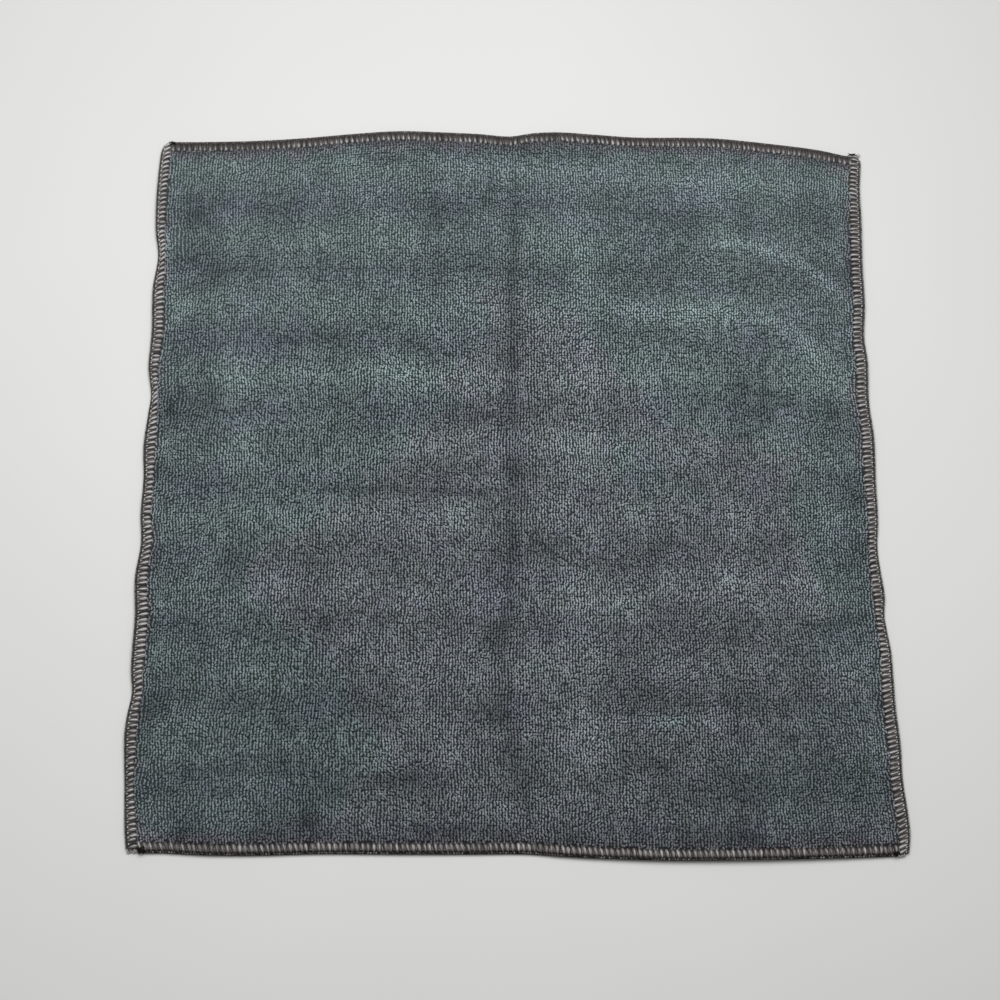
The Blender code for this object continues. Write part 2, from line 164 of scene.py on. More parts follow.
# rise: height of the middle, below zero for a trough; half_width: how far out it
# has fallen to about a third; path: the line that it follows.
Crease = namedtuple("Crease", "rise half_width path")
CREASES = table(Crease, (
    # the middle fold, which strays to the left and back near the front
    (-0.9, 4.5, ((-1, 185), (-2, 150), (-1, 123), (-2, 80), (1, 36), (-2, 5), (-4, -44), (-6, -70))),
    (-0.8, 4.5, ((-10, -90), (-8, -120), (-4, -141), (1, -167), (5, -192))),
    # the fold across it, which shows on the left half
    (-0.5, 4, ((-184, -4), (-153, -6), (-95, -6), (-30, -5), (-4, -9))),
    # the three bows round the far right corner
    (0.7, 4.5, ((99, 131), (116, 139), (133, 141), (156, 134), (178, 120))),
    (1.3, 5.5, ((59, 105), (101, 103), (125, 101), (145, 92), (160, 81), (169, 67), (169, 56))),
    (-0.7, 5, ((30, 81), (72, 86), (97, 81), (127, 61), (143, 47), (170, 45), (190, 34))),
    # short folds that run in from the left hem
    (0.9, 5, ((-194, 128), (-184, 135), (-167, 145))),
    (0.9, 5, ((-194, 84), (-184, 92), (-171, 106))),
    (-0.6, 5, ((-190, 26), (-182, 45), (-164, 54))),
    (-0.5, 6, ((-190, 160), (-170, 162))),
    # a broad swelling to the right of the middle fold
    (0.4, 8, ((44, 140), (35, 89), (38, 48), (32, 19), (24, -18))),
    # short folds in the near half
    (-0.5, 4, ((147, -81), (166, -79), (190, -74))),
    (-0.5, 4, ((61, -123), (71, -118), (82, -110))),
    (-0.4, 4, ((-176, -157), (-138, -154))),
    (-0.7, 4, ((-113, -172), (-106, -182), (-101, -192))),
    (-0.4, 4, ((-86, -164), (-43, -161))),
    # thin lines pressed into the pile
    (-0.5, 1.5, ((-166, 121), (-95, 124), (28, 124))),
    (-0.4, 1.5, ((-156, 79), (-83, 80))),
    (-0.4, 1.5, ((-155, 38), (-101, 38))),
    (-0.6, 4, ((-184, 161), (-177, 161))),
))

# ---- how the dye and wear show, and the light and shade painted on the pile

# Where the purple-grey stain begins and ends at some places along the cloth.
StainRow = namedtuple("StainRow", "at left right")
STAIN = table(StainRow, (
    (-182, -122, 215), (-166, -77, 215), (-140, -72, 215),
    (-109, -88, 215), (-77, -125, 206), (-58, -139, 172),
    (-40, -130, 150), (-22, -100, 146), (18, -57, 148), (30, -50, 78),
    (64, -44, 58), (94, -19, 28), (122, 3, 3), (160, 5, -10),
))
STAIN_EDGE = 9.0

# Where the stain is thin: by how much, how wide and along which line.
THIN_STAIN = (
    (1.8, 11, ((52, 16), (70, 9), (92, -4))),
    (0.9, 6, ((152, -89), (170, -89), (188, -88))),
    (0.9, 6, ((143, -122), (156, -124), (172, -123))),
    (0.7, 5, ((68, -130), (90, -130))),
    (0.5, 7, ((165, -150), (178, -168))),
    (0.55, 26, ((110, -172), (190, -160), (196, -110), (190, -40))),
)

# Where the dye leans to blue-violet or, below zero, to plain green.
TINGES = (
    (0.9, 13, ((-164, 78), (-146, 76), (-126, 74))),
    (0.8, 8, ((-166, 31), (-150, 31), (-132, 31))),
    (0.5, 9, ((-165, 110), (-130, 111))),
    (0.6, 8, ((-62, 112), (-36, 112))),
    (0.5, 10, ((-168, 162), (-112, 158))),
    (0.6, 8, ((-46, 163), (-16, 160))),
    (0.6, 11, ((74, 158), (94, 166), (116, 176))),
    (0.8, 7, ((124, 83), (148, 80))),
    (0.8, 6, ((132, 14), (132, -8))),
    (1, 11, ((-14, -52), (-12, -80))),
    (0.6, 9, ((0, -112), (6, -140))),
    (0.5, 10, ((-2, 84), (4, 50))),
    (0.6, 8, ((-164, -53), (-122, -64))),
    (0.8, 8, ((-174, -99), (-144, -97))),
    (-0.7, 11, ((-92, 166), (-88, 140), (-80, 108))),
    (-0.5, 11, ((-100, 96), (-98, 34))),
    (-0.4, 12, ((-160, -4), (-120, -6))),
    (-0.4, 12, ((-165, -130), (-115, -124))),
    (-0.5, 12, ((96, 68), (186, 60))),
    (-0.4, 10, ((-10, 136), (70, 134))),
    (0.7, 7, ((-210, -187), (210, -188))),
)

# A violet tinge beside the hem, stronger than the stain's own.
FRINGE_SIDE_TONE = 1.3
FRINGE_END_TONE = 1.9
FRINGE_SIDE = 4.0
FRINGE_END = 8.0

# The pile lies in the shade of the near and far hems.
NEAR_SHADE = 0.04
FAR_SHADE = 0.50
END_SHADE_WIDTH = 4.4

# Where the pile is painted brighter or darker than around it: painted shade in its creases
# and folds and beside the lifted hems, painted light on its bows and swellings, and patches.
# gain: by how much; half_width: how far out it has fallen to about a third; path: the line it follows.
Streak = namedtuple("Streak", "gain half_width path")
STREAKS = table(Streak, (
    # painted shade in the middle fold, and painted light on the swelling beside it
    (-0.40, 4, ((0, 185), (0, 150), (-1, 112), (-2, 80))),
    (-0.35, 4.8, ((-2, 90), (-1, 60), (-3, 41), (-1, 18), (-3, -10))),
    (-0.30, 3.4, ((-3, -10), (-3, -44), (-7, -88))),
    (-0.24, 7, ((-6, -70), (-7, -120), (-2, -150), (6, -192))),
    (0.25, 9, ((38, 172), (38, 110), (39, 48), (34, -10))),
    (0.15, 9, ((34, -10), (36, -57), (36, -140), (38, -180))),
    # light and dark bands across the far half, with painted shade in the thin lines pressed into the pile
    (0.24, 5, ((-165, 188), (-146, 188))),
    (0.24, 5, ((-45, 188), (38, 188), (60, 184), (112, 184), (165, 176))),
    (0.20, 7, ((62, 172), (110, 168), (160, 160))),
    (-0.15, 2.4, ((-178, 121), (-95, 124), (28, 124))),
    (-0.04, 2.4, ((-176, 80), (-83, 81), (-20, 80))),
    (0.12, 3.2, ((-180, 61), (-40, 62), (60, 60), (150, 62))),
    (-0.12, 2.4, ((-165, 38), (-90, 38), (30, 38))),
    (0.14, 6, ((-85, 20), (-20, 18))),
    (0.16, 7, ((13, 24), (85, 20))),
    # blotches along the wales
    (-0.15, 8, ((-176, 175), (-174, 130), (-170, 60), (-168, 0))),
    (0.16, 8, ((-152, 185), (-150, 130), (-148, 60), (-146, 0))),
    (0.12, 8, ((-80, 180), (-80, 100))),
    (-0.16, 7, ((-48, 182), (-46, 95))),
    (0.15, 8, ((-64, 80), (-62, 0))),
    (0.14, 8, ((114, 180), (113, 120))),
    (-0.16, 8, ((128, 70), (124, 0))),
    (0.14, 8, ((-88, -15), (-84, -100))),
    (-0.14, 8, ((-14, -15), (-12, -100))),
    # painted light on the three bows round the far right corner, and painted shade in the trough beside
    # them
    (0.58, 3.5, ((104, 143), (133, 142), (161, 130), (178, 118), (187, 106))),
    (0.50, 5.8, ((53, 102), (86, 99), (109, 102), (137, 96), (158, 88), (167, 76), (174, 58))),
    (-0.26, 4.5, ((112, 62), (134, 54), (151, 46), (184, 38))),
    # painted shade in the fold across the middle, and painted light on the band beside it
    (-0.34, 2.6, ((-110, -5), (-60, -5), (-4, -7))),
    (0.20, 5, ((-85, -21), (-12, -22))),
    # patches, and painted shade in the short folds of the near half
    (0.26, 9, ((106, -57), (120, -56))),
    (0.20, 8, ((147, -53), (155, -54))),
    (-0.38, 3, ((148, -80), (166, -78), (190, -74))),
    (-0.36, 8, ((66, -122), (84, -117))),
    (0.26, 3.4, ((37, -132), (95, -131), (152, -133))),
    (-0.26, 4, ((-182, -158), (-140, -156), (-105, -158))),
    (-0.26, 4.5, ((-88, -162), (-43, -161))),
    (-0.42, 5.5, ((-112, -172), (-107, -180), (-101, -190))),
    (-0.14, 24, ((60, -165), (170, -165))),
    # painted shade and light beside the lifted side hems, and painted shade along the near and far hems
    (-0.34, 9, ((-186, 156), (-172, 150))),
    (0.32, 4, ((-194, 112), (-184, 117), (-174, 124))),
    (0.32, 4, ((-194, 86), (-184, 93), (-171, 104))),
    (-0.42, 7, ((-193, 36), (-182, 42))),
    (-0.36, 7, ((-190, -110), (-184, -136))),
    (-0.48, 5.5, ((187, 134), (190, 112))),
    (-0.45, 6, ((185, 8), (183, -20))),
    (-0.29, 8, ((-190, -190), (190, -191))),
    (-0.15, 5, ((-192, -110), (-191, -185))),
    (0.12, 5, ((-190, 180), (-190, 120), (-190, 80))),
    (-0.13, 4, ((-60, 199), (60, 199))),
    # whole rows and patches that lie a little brighter or darker
    (-0.06, 6, ((-190, 163), (190, 163))),
    (0.05, 6, ((-190, 119), (190, 119))),
    (0.05, 34, ((-220, 88), (220, 88))),
    (-0.14, 12, ((2, 98), (2, 56))),
    (0.06, 7, ((-190, -67), (190, -67))),
    (-0.05, 22, ((-165, -2), (-120, -2))),
    (-0.05, 7, ((-190, -117), (190, -117))),
    (0.17, 24, ((-176, -150), (-120, -150))),
))

# The bands across the cloth where it was rolled up: dark at BAND_DARK, and again every
# BAND_LENGTH.  On the pile they are painted light and shade, brighter on the slopes of the
# roll waves that face the far side.
BAND_GAIN = 0.14
BAND_NEAR = 0.5
BAND_LENGTH = 40.8
BAND_DARK = 163.0
# Painted light: the pile is painted brighter towards the far side and darker towards the near one.
FAR_LIGHT_GAIN = 0.15
LEAST_WEAR_AND_SHADING = 0.25
LEAST_TINGE = -0.9

# ---- the pile's loops

WALES = 256
COURSES = 306
WALE = WIDTH / WALES
COURSE = DEPTH / COURSES
PILE_BANDS = 4
LOOP_HALF_LENGTH = 0.99
LOOP_HALF_WIDTH = 0.65
LOOP_RIDGE = 0.50
LOOP_DROP = 0.7
LOOP_END_DROP = 0.44
TURN_STRAY = 0.16
ACROSS_STRAY = 0.16
ALONG_STRAY = 0.24
HEIGHT_STRAY = 0.12
TILT_STRAY = 0.12

# The brightest loop's glow, how far the dullest falls below it, and how that bends.
LOOP_GLOW = 1.16
LOOP_GLOW_FALL = 0.42
LOOP_GLOW_BEND = 1.6
# A few loops in the shade of their neighbours: less so where the loops blur together.
SHADED_LOOPS = 0.08
SHADED_GLOW = 0.45
SHADED_BLUR_GAIN = 0.3

# The loops stand out crisply round this place and blur together far from it.
CRISP_MIDDLE = (8.0, -60.0)
CRISP_REACH = 125.0
BLUR_WIDTH = 230.0
BLUR_SHADE = 0.69
BLUR_DROP = 0.35
BLUR_GROUND = 1.5
BLUR_DIM = 0.21

# ---- the overlock

# The sides, counterclockwise from the far left corner.  slant: how far a bar's
# outer end lies ahead of its inner one; ahead, out: the directions along the side
# and out of it.
Side = namedtuple("Side", "name length stitches slant ahead out")
SIDES = (
    Side("left", DEPTH, 142, 1.8, (0, -1, 0), (-1, 0, 0)),
    Side("near", WIDTH, 143, 1.1, (1, 0, 0), (0, -1, 0)),
    Side("right", DEPTH, 147, 0.9, (0, 1, 0), (1, 0, 0)),
    Side("far", WIDTH, 138, 1.3, (-1, 0, 0), (0, 1, 0)),
)
SIDE_HEMS = ("left", "right")
SIDE_MARGIN = 1.6
END_MARGIN = HEM_WIDTH + 0.8
STITCH_STRAY = 0.16

# A bar of shiny thread, from the needle line out over the hem and round its rim.
# spread: how far its strands part; left, near, right, far: how bright it is painted there,
# with painted highlights where the light catches the shiny thread and painted shade
# where it turns away.
BarPoint = namedtuple("BarPoint", "inset height spread left near right far")
BAR_PATH = table(BarPoint, (
    (5.6, 1.40, 0.45, 0.80, 0.18, 0.66, 0.84),
    (5.1, 1.95, 0.80, 1.05, 0.44, 0.98, 0.90),
    (4.3, 2.30, 1.00, 1.10, 0.70, 0.96, 0.60),
    (3.2, 2.38, 1.00, 0.98, 0.68, 0.78, 0.30),
    (2.2, 2.28, 0.85, 0.68, 0.52, 0.76, 0.18),
    (1.3, 1.95, 0.60, 0.44, 0.20, 0.38, 0.12),
    (0.8, 1.45, 0.50, 0.12, 0.00, 0.14, 0.08),
    (0.6, 0.95, 0.45, 0.04, 0.00, 0.04, 0.06),
    (1, 0.36, 0.45, 0.04, 0.00, 0.04, 0.06),
))
# side, end: its share of that brightness on the side hems and on the near and far ones.
Strand = namedtuple("Strand", "offset radius side end")
BAR_STRANDS = (
    Strand(-0.68, 0.28, 0.42, 0.60),
    Strand(-0.05, 0.32, 1.05, 1.06),
    Strand(0.60, 0.28, 0.54, 0.78),
)
STRAND_CROWN = 0.10
STRAND_STRAY = 0.06
LEAN_STRAY = 0.30

# The looper's thread, which lies between the bars and comes up towards the rim.
UnderPoint = namedtuple("UnderPoint", "inset height left near right far")
UNDER_PATH = table(UnderPoint, (
    (5.2, 1.65, 0.26, 0.16, 0.16, 0.46),
    (4.2, 1.98, 0.18, 0.18, 0.14, 0.34),
    (3, 2.12, 0.22, 0.42, 0.22, 0.28),
    (1.9, 2.10, 0.50, 0.26, 0.52, 0.16),
    (1.1, 1.80, 0.56, 0.04, 0.26, 0.08),
))
UNDER_RADIUS = 0.36

# The two dark threads twisted round the rim over a core.  base, crest, core: how bright
# they look, with painted shade where a strand turns under and a painted highlight where it
# comes over the top, darkest on the near rim, in shade; centre, height, swing, radius: where
# they turn and how thick they are.
Rim = namedtuple("Rim", "base crest core centre height swing radius")
RIMS = {
    "left": Rim(-0.15, 0.38, 0.34, 0.46, 1.35, 0.30, 0.26),
    "near": Rim(-0.46, 0.36, -0.30, 0.84, 1.10, 0.60, 0.34),
    "right": Rim(-0.15, 0.50, 0.44, 0.50, 1.25, 0.32, 0.27),
    "far": Rim(-0.10, 0.46, 0.20, 0.86, 0.98, 0.52, 0.36),
}
CORE_INSET = 0.28
CORE_RADIUS = 0.34
CORE_RISE = 0.10
TWIST_LEAD = 0.7
TWIST_RISE = 0.50
RIM_POINTS = 8

# The knots where the rim's threads catch the bars, and the needle's stitches.
Bead = namedtuple("Bead", "inset shade")
BEADS = {
    "left": Bead(1.60, 0.95),
    "near": Bead(2.10, 0.34),
    "right": Bead(1.70, 0.98),
    "far": Bead(1.70, 0.40),
}
BEAD_STEP = -1.1
BEAD_HEIGHT = 2.42
BEAD_POINTS = np.array((-0.44, -0.20, 0.20, 0.44))
BEAD_RADII = (0.14, 0.34, 0.34, 0.14)
NEEDLE = {"left": 0.44, "near": 0.20, "right": 0.30, "far": 0.48}
NEEDLE_INSET = 5.7
NEEDLE_HEIGHT = 1.45
NEEDLE_POINTS = np.array((-1.2, -0.4, 0.4, 1.2))
NEEDLE_RADII = (0.12, 0.24, 0.24, 0.12)

# Loose ends and knots at the corners: a bunch of short threads each.
LEAST_BUNCH_HEIGHT = 0.3
Bunch = namedtuple("Bunch", "x y height half_width half_depth count shade radius length turn stray")
BUNCHES = table(Bunch, (
    (-196, -197.9, 1.5, 2.6, 0.4, 44, 0.95, 0.13, 2.2, -78, 34),
    (-191, -197.4, 2.5, 1.6, 1.2, 44, 0.02, 0.28, 2.3, -60, 35),
    (196, -199.9, 1.6, 1.8, 0.5, 32, 0.90, 0.13, 2.2, -100, 32),
    (193.6, -199.2, 2.5, 1.5, 0.9, 26, 0.00, 0.28, 2.2, -20, 30),
    (195.4, 199.9, 2.4, 1.9, 0.4, 18, 0.00, 0.25, 3.2, 12, 9),
    (198.4, 199.6, 1.8, 0.8, 0.6, 14, 0.95, 0.11, 2.4, 10, 45),
    (-193, 199.6, 2.5, 1.4, 0.8, 26, 0.00, 0.28, 2, 165, 30),
    (-197, 197.6, 2, 0.9, 0.8, 12, 0.70, 0.13, 2, 130, 35),
))

random = np.random.default_rng(4021)


def blend(share):
    """0 to 1 with a soft start and end."""
    share = np.clip(share, 0.0, 1.0)
    return share * share * (3.0 - 2.0 * share)


def columns(rows, *names):
    """Columns of a table."""
    return [np.array([getattr(row, name) for row in rows]) for name in names]


def read_curve(rows, column, at):
    """A smooth curve through one column of a table."""
    places, heights = columns(rows, "at", column)
    before = np.maximum(np.arange(len(rows)) - 1, 0)
    after = np.minimum(np.arange(len(rows)) + 1, len(rows) - 1)
    slopes = (heights[after] - heights[before]) / (places[after] - places[before])
    at = np.clip(at, places[0], places[-1])
    index = np.clip(np.searchsorted(places, at, side="right") - 1, 0, len(rows) - 2)
    span = places[index + 1] - places[index]
    t = (at - places[index]) / span
    ease = 3 * t ** 2 - 2 * t ** 3
    start_bend = (t ** 3 - 2 * t ** 2 + t) * slopes[index] * span
    end_bend = (t ** 3 - t ** 2) * slopes[index + 1] * span
    return heights[index] * (1 - ease) + heights[index + 1] * ease + start_bend + end_bend


def read_section(rows, column, inset):
    """A section's height, straight between the rows of its table."""
    return np.interp(inset, *columns(rows, "inset", column))


def soft_noise(x, y, size, seed):
    """Smooth random hills, -1 to 1, about size millimetres across."""
    cells = np.random.default_rng(seed).uniform(-1.0, 1.0, (64, 64))
    column, row = np.floor(x / size), np.floor(y / size)
    right, up = blend(x / size - column), blend(y / size - row)
    column, row = column.astype(int) % 64, row.astype(int) % 64
    next_column, next_row = (column + 1) % 64, (row + 1) % 64
    low = cells[row, column] * (1 - right) + cells[row, next_column] * right
    high = cells[next_row, column] * (1 - right) + cells[next_row, next_column] * right
    return low * (1 - up) + high * up


# ---- the sheet

def mix_corners(u, v):
    """The place in the straight-sided outline between the four corners."""
    near_x = NEAR_LEFT.x * (1 - u) + NEAR_RIGHT.x * u
    near_y = NEAR_LEFT.y * (1 - u) + NEAR_RIGHT.y * u
    far_x = FAR_LEFT.x * (1 - u) + FAR_RIGHT.x * u
    far_y = FAR_LEFT.y * (1 - u) + FAR_RIGHT.y * u
    return near_x * (1 - v) + far_x * v, near_y * (1 - v) + far_y * v


def edge_pull(share):
    """How much of a side's waviness is left at this share of the way across."""
    return 1.0 - blend(share / WAVE_REACH)


def plan_place(u, v):
    """Where a point of the sheet lies, seen from above."""
    x, y = mix_corners(u, v)
    left_x, left_y = mix_corners(0, v)
    right_x, right_y = mix_corners(1, v)
    near_x, near_y = mix_corners(u, 0)
    far_x, far_y = mix_corners(u, 1)
    x = x + (read_curve(LEFT_SIDE, "across", left_y) - left_x) * edge_pull(u)
    x = x + (read_curve(RIGHT_SIDE, "across", right_y) - right_x) * edge_pull(1 - u)
    y = y + (read_curve(NEAR_SIDE, "across", near_x) - near_y) * edge_pull(v)
    y = y + (read_curve(FAR_SIDE, "across", far_x) - far_y) * edge_pull(1 - v)
    return x, y


def outline_middle():
    """The middle of the outline's bounding box, which is the part's origin."""
    run = np.linspace(0.0, 1.0, 2001)
    rims = [plan_place(0 * run, run), plan_place(0 * run + 1, run),
            plan_place(run, 0 * run), plan_place(run, 0 * run + 1)]
    xs = np.concatenate([x for x, y in rims])
    ys = np.concatenate([y for x, y in rims])
    return (xs.min() + xs.max()) / 2, (ys.min() + ys.max()) / 2


MIDDLE_X, MIDDLE_Y = outline_middle()


def stretch(inset, width):
    """Where a line of the hem lies when the hem is wider or narrower than usual."""
    share = width / HEM_WIDTH - 1.0
    return inset * (1.0 + share * (1.0 - blend((inset - HEM_WIDTH) / HEM_EASE)))


def sheet_place(across, along):
    """Where a point of the cut sheet lies, seen from above."""
    y = NEAR_LEFT.y + along
    from_left = stretch(across, read_curve(LEFT_HEM, "width", y))
    from_right = stretch(WIDTH - across, read_curve(RIGHT_HEM, "width", y))
    u = np.where(across < WIDTH / 2, from_left, WIDTH - from_right) / WIDTH
    return plan_place(u, along / DEPTH)


def side_lift(rows, at, inset):
    """How high one side of the sheet stands off the floor."""
    rim = np.maximum(read_curve(rows, "rim", at), 0.0)
    inner = np.maximum(read_curve(rows, "inner", at), 0.0)
    hem = rim + (inner - rim) * inset / HEM_WIDTH
    beyond = inner * (1.0 - blend((inset - HEM_WIDTH) / (LIFT_REACH - HEM_WIDTH)))
    return np.where(inset <= HEM_WIDTH, hem, beyond)


def sheet_lift(across, along, x, y):
    """The underside's height over the floor, from whichever sides are near."""
    lift = side_lift(LEFT_SIDE, y, across)
    lift = np.maximum(lift, side_lift(RIGHT_SIDE, y, WIDTH - across))
    lift = np.maximum(lift, side_lift(NEAR_SIDE, x, along))
    return np.maximum(lift, side_lift(FAR_SIDE, x, DEPTH - along))


def line_value(x, y, peak, half_width, path):
    """A value that is highest along a line, fading to its sides and both ends."""
    nearest = np.full(np.shape(x), 1.0e9)
    place = np.zeros(np.shape(x))
    run = 0.0
    for (ax, ay), (bx, by) in zip(path, path[1:]):
        length = np.hypot(bx - ax, by - ay)
        t = np.clip(((x - ax) * (bx - ax) + (y - ay) * (by - ay)) / length ** 2, 0.0, 1.0)
        distance = np.hypot(x - ax - t * (bx - ax), y - ay - t * (by - ay))
        place = np.where(distance < nearest, run + t * length, place)
        nearest = np.minimum(distance, nearest)
        run += length
    end = min(CREASE_END, run / 2)
    fade = np.maximum(blend(place / end) * blend((run - place) / end), CREASE_END_SHARE)
    return peak * fade * np.exp(-(nearest / half_width) ** 2)


def creases(x, y):
    """All the creases together."""
    return sum(line_value(x, y, *crease) for crease in CREASES)


def roll_wave(y):
    """The low waves left by the way the cloth was rolled up."""
    depth = (y - NEAR_LEFT.y) / DEPTH
    strength = ROLL_WAVE_NEAR + (1 - ROLL_WAVE_NEAR) * depth
    return ROLL_WAVE_HEIGHT * strength * np.cos(2 * pi * (y - ROLL_WAVE_CREST) / ROLL_WAVE_LENGTH)


def insets(across, along):
    """Distance from the nearer side rim and from the nearer end rim."""
    return np.minimum(across, WIDTH - across), np.minimum(along, DEPTH - along)


def pile_relief(across, along, x, y):
    """Creases and waves, which stop at the hem."""
    side, end = insets(across, along)
    return (roll_wave(y) + creases(x, y)) * blend((np.minimum(side, end) - HEM_WIDTH) / HEM_WIDTH)


# ---- meshes and their colours

def tone_at(across, along, x, y):
    """From 0, green-grey, to 1, purple-grey, and past it to violet beside the hem."""
    side, end = insets(across, along)
    stray = 3.0 * soft_noise(x + 5, y + 3, 9.0, 14) - HEM_WIDTH
    side_fringe = 1.0 - blend((side + stray) / FRINGE_SIDE)
    end_fringe = 1.0 - blend((end + stray) / FRINGE_END)
    x = x + 9.0 * soft_noise(x + 31, y + 87, 13.0, 11) + 14.0 * soft_noise(x + 300, y + 20, 34.0, 12)
    y = y + 7.0 * soft_noise(x + 210, y + 55, 12.0, 13)
    from_left = x - np.interp(y, *columns(STAIN, "at", "left"))
    to_right = np.interp(y, *columns(STAIN, "at", "right")) - x
    stain = blend(0.5 + np.minimum(from_left, to_right) / (2 * STAIN_EDGE))
    stain = np.clip(stain - sum(line_value(x, y, *patch) for patch in THIN_STAIN), 0.0, 1.0)
    fringe = np.maximum(FRINGE_SIDE_TONE * side_fringe, FRINGE_END_TONE * end_fringe)
    return np.maximum(stain, fringe)


def roll_bands(x, y):
    """The bands where the cloth was rolled up: 1 in their middle, -1 between them."""
    return np.cos(2 * pi * (y + 4.0 * soft_noise(x + 80, y + 20, 45.0, 20) - BAND_DARK) / BAND_LENGTH)


def tinge_at(x, y, tone):
    """From -1, plain green, to 1, blue-violet; bluest in the rolled-up bands."""
    patchy = 0.30 + 0.30 * soft_noise(x + 130, y + 70, 28.0, 18) - 0.15 * np.clip(x / 60.0, -1.0, 1.0)
    tinge = patchy * roll_bands(x, y) * (1.0 - 0.8 * np.clip(tone, 0.0, 1.0)) - 0.05
    tinge = tinge + sum(line_value(x, y, *patch) for patch in TINGES)
    tinge += 0.50 * soft_noise(x + 170, y + 340, 13.0, 15) + 0.50 * soft_noise(x + 90, y + 240, 5.5, 16)
    return np.maximum(tinge + 0.35 * soft_noise(x + 20, y + 430, 2.4, 17), LEAST_TINGE)


def wear_and_shading_at(x, y):
    """How bright the pile is painted: partly by the way it lies, partly painted light and shade on its
    bands, folds and hems, and towards the far side.
    """
    depth = (y - NEAR_LEFT.y) / DEPTH
    # painted light and shade across the roll bands, and from the near side to the far one
    bands = -roll_bands(x, y) * (BAND_NEAR + (1 - BAND_NEAR) * depth)
    wear_and_shading = 1.0 + BAND_GAIN * bands + FAR_LIGHT_GAIN * (2 * depth - 1)
    wear_and_shading += sum(line_value(x, y, *streak) for streak in STREAKS)
    wear_and_shading += 0.17 * soft_noise(x + 700, y + 300, 19.0, 21) + 0.11 * soft_noise(x + 50, y + 640, 7.5, 22)
    fine = 0.09 * soft_noise(x + 410, y + 120, 3.6, 23)
    wear_and_shading += fine + 0.08 * soft_noise(x / 5 + 90, y + 510, 4.0, 24)
    wear_and_shading += 0.10 * soft_noise(x + 30, y / 2.5 + 5, 1.7, 25)
    return np.maximum(wear_and_shading, LEAST_WEAR_AND_SHADING)


def blur_at(x, y):
    """How much the loops blur together: 0 where they stand out, 1 by the far corners."""
    away = np.hypot(x - CRISP_MIDDLE[0], y - CRISP_MIDDLE[1])
    return np.clip((away - CRISP_REACH) / BLUR_WIDTH, 0.0, 1.0)


def flat(values):
    """Numbers in one row, as a mesh takes them."""
    return np.ascontiguousarray(values, np.float32).ravel()


def add_values(mesh, name, values):
    """A number for each vertex, which a material reads."""
    layer = mesh.attributes.new(name, "FLOAT", "POINT")
    layer.data.foreach_set("value", flat(values))


def add_object(name, data):
    """A new object in the scene."""
    item = bpy.data.objects.new(name, data)
    bpy.context.scene.collection.objects.link(item)
    return item


def make_piece(name, vertices, faces, material, values):
    """An object from vertices in table millimetres and equal-sided faces."""
    places = (np.asarray(vertices).reshape(-1, 3) - (MIDDLE_X, MIDDLE_Y, 0.0)) * MM
    # the lower faces come first, so that the upper ones lie over them on the plan map
    faces = faces[np.argsort(places[faces, 2].mean(axis=1), kind="stable")].astype(np.int32)
    mesh = bpy.data.meshes.new(name)
    mesh.vertices.add(len(places))
    mesh.vertices.foreach_set("co", flat(places))
    mesh.loops.add(faces.size)
    mesh.loops.foreach_set("vertex_index", faces.ravel())
    mesh.polygons.add(len(faces))
    mesh.polygons.foreach_set("loop_start", np.arange(0, faces.size, faces.shape[1], dtype=np.int32))
    mesh.update(calc_edges=True)
    mesh.shade_smooth()
    for key, numbers in values.items():
        add_values(mesh, key, numbers)
    mesh.materials.append(material)
    piece = add_object(name, mesh)
    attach(piece, "root")
    return piece


def add_plan_map(piece):
    """A map of the piece seen from above."""
    mesh = piece.data
    places = np.empty(len(mesh.vertices) * 3, np.float32)
    mesh.vertices.foreach_get("co", places)
    plan = places.reshape(-1, 3)[:, :2]
    low = plan.min(axis=0)
    plan = (plan - low) / (plan.max(axis=0) - low)
    corners = np.empty(len(mesh.loops), np.int32)
    mesh.loops.foreach_get("vertex_index", corners)
    layer = mesh.uv_layers.new(name=BAKE_MAP)
    layer.uv.foreach_set("vector", flat(plan[corners]))


def threads(paths, radii, guide, shades):
    """Closed four-sided tubes along many paths of the same number of points.

    guide is a direction across each path; radii and shades belong to the points, and
    may be given for fewer where they repeat.
    """
    count, points = paths.shape[:2]
    guide = np.array(guide, float)
    forward = np.gradient(paths, axis=1)
    forward /= np.linalg.norm(forward, axis=2, keepdims=True)
    across = guide - (guide * forward).sum(axis=2, keepdims=True) * forward
    across /= np.linalg.norm(across, axis=2, keepdims=True)
    upward = np.cross(forward, across)
    radii = np.broadcast_to(radii, (count, points))[..., None]
    across, upward = across * radii, upward * radii
    rings = np.stack((paths + across, paths + upward, paths - across, paths - upward), axis=2)
    ring = np.arange(4)
    following = (ring + 1) % 4
    step = np.arange(points - 1)[:, None] * 4
    walls = np.stack((step + ring, step + following, step + 4 + following, step + 4 + ring), axis=2)
    caps = np.array([ring[::-1], ring + (points - 1) * 4])
    faces = np.concatenate((walls.reshape(-1, 4), caps))
    faces = faces[None] + np.arange(count)[:, None, None] * points * 4
    shades = np.repeat(np.broadcast_to(shades, (count, points)).ravel(), 4)
    return rings.reshape(-1, 3), faces.reshape(-1, 4), shades


def join(parts):
    """Several sets of vertices, faces and shades as one."""
    offset, vertices, faces, shades = 0, [], [], []
    for part_vertices, part_faces, part_shades in parts:
        vertices.append(part_vertices)
        faces.append(part_faces + offset)
        shades.append(part_shades)
        offset += len(part_vertices)
    return np.concatenate(vertices), np.concatenate(faces), np.concatenate(shades)


# ---- materials

def feed(tree, socket, value):
    """Give a socket another socket's value, a number, or a colour."""
    if isinstance(value, bpy.types.NodeSocket):
        tree.links.new(value, socket)
    else:
        socket.default_value = (*value, 1.0) if isinstance(value, tuple) else value


